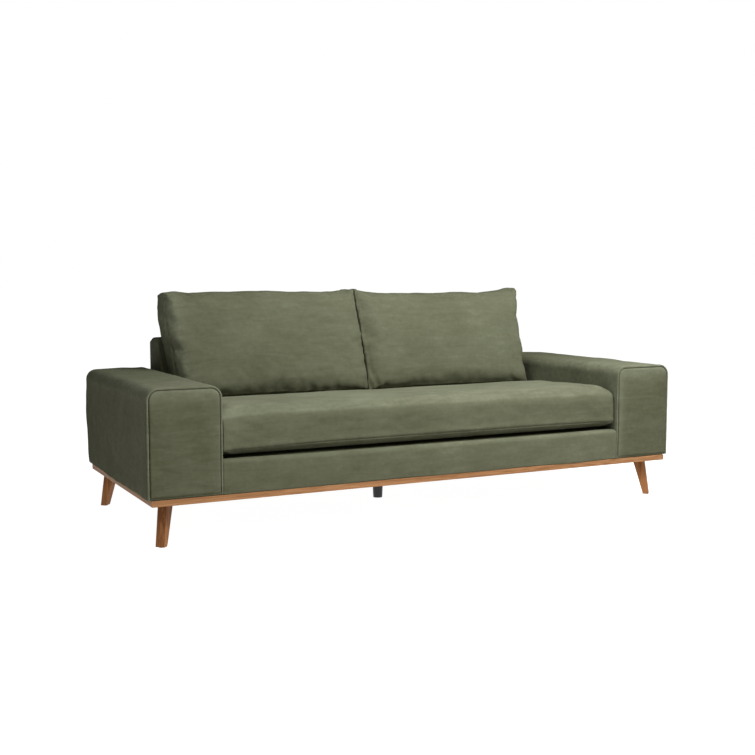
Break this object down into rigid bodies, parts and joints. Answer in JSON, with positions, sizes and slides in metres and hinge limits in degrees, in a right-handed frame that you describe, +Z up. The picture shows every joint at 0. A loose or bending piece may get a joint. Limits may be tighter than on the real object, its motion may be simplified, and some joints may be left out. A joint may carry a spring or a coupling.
{
  "type": "sofa with wooden legs",
  "caption": "Low three-seater sofa with wide padded arms, a bench cushion, loose back cushions and a flat wooden plinth on splayed legs.",
  "frame": {"origin": "on the floor, at the middle of the sofa's width and depth", "axes": "+Z up, -Y to the sofa's front, +X along the sofa to the right of someone facing its front"},
  "size_m": [2.24, 0.9, 0.87],
  "materials": {
    "sage_fabric": "matte",
    "foam": "matte",
    "black_cloth": "matte",
    "felt": "matte",
    "webbing": "matte",
    "zip_tape": "matte",
    "bolt_steel": "satin",
    "spring_steel": "satin",
    "nylon": "matte",
    "black_plastic": "satin",
    "oiled_oak": "satin",
    "plywood": "matte",
    "hardboard": "matte",
    "frame_timber": "matte"
  },
  "bodies": {
    "sofa_frame": {"back_fabric": "sage_fabric", "back_foam": "foam", "back_lower_rails": "frame_timber", "back_posts": "frame_timber", "back_rear_board": "hardboard", "back_top_board": "frame_timber", "back_webbing": "webbing", "corner_blocks": "frame_timber", "deck_fabric": "sage_fabric", "deck_foam": "foam", "dust_cover": "black_cloth", "frame_bolts": "bolt_steel", "front_rail_fabric": "sage_fabric", "front_rail_foam": "foam", "left_arm_fabric": "sage_fabric", "left_arm_foam": "foam", "left_arm_front_board": "plywood", "left_arm_inner_board": "plywood", "left_arm_outer_board": "plywood", "left_arm_piping": "sage_fabric", "left_arm_rear_board": "plywood", "left_arm_top_board": "plywood", "leg_blocks": "frame_timber", "leg_bolts": "bolt_steel", "leg_front_left": "oiled_oak", "leg_front_right": "oiled_oak", "leg_glides": "nylon", "leg_middle": "black_plastic", "leg_rear_left": "oiled_oak", "leg_rear_right": "oiled_oak", "plinth_cross_rail": "oiled_oak", "plinth_front_rail": "oiled_oak", "plinth_left_rail": "oiled_oak", "plinth_rear_rail": "oiled_oak", "plinth_right_rail": "oiled_oak", "right_arm_fabric": "sage_fabric", "right_arm_foam": "foam", "right_arm_front_board": "plywood", "right_arm_inner_board": "plywood", "right_arm_outer_board": "plywood", "right_arm_piping": "sage_fabric", "right_arm_rear_board": "plywood", "right_arm_top_board": "plywood", "seat_centre_rail": "frame_timber", "seat_front_rail": "frame_timber", "seat_left_rail": "frame_timber", "seat_rear_rail": "frame_timber", "seat_right_rail": "frame_timber", "seat_springs": "spring_steel", "spring_clips": "spring_steel", "spring_felt": "felt"},
    "seat_cushion": {"seat_cushion_fabric": "sage_fabric", "seat_cushion_foam": "foam", "seat_cushion_zip": "zip_tape"},
    "back_cushion_left": {"back_cushion_left_fabric": "sage_fabric", "back_cushion_left_filling": "foam", "back_cushion_left_zip": "zip_tape"},
    "back_cushion_right": {"back_cushion_right_fabric": "sage_fabric", "back_cushion_right_filling": "foam", "back_cushion_right_zip": "zip_tape"}
  },
  "joints": [
    {"name": "seat_cushion_lift", "type": "slide", "parent": "sofa_frame", "child": "seat_cushion", "axis": [0, 0, 1], "range_m": [0, 0.4]},
    {"name": "back_cushion_left_lift", "type": "slide", "parent": "seat_cushion", "child": "back_cushion_left", "axis": [0, 0, 1], "range_m": [0, 0.3]},
    {"name": "back_cushion_right_lift", "type": "slide", "parent": "seat_cushion", "child": "back_cushion_right", "axis": [0, 0, 1], "range_m": [0, 0.3]}
  ]
}
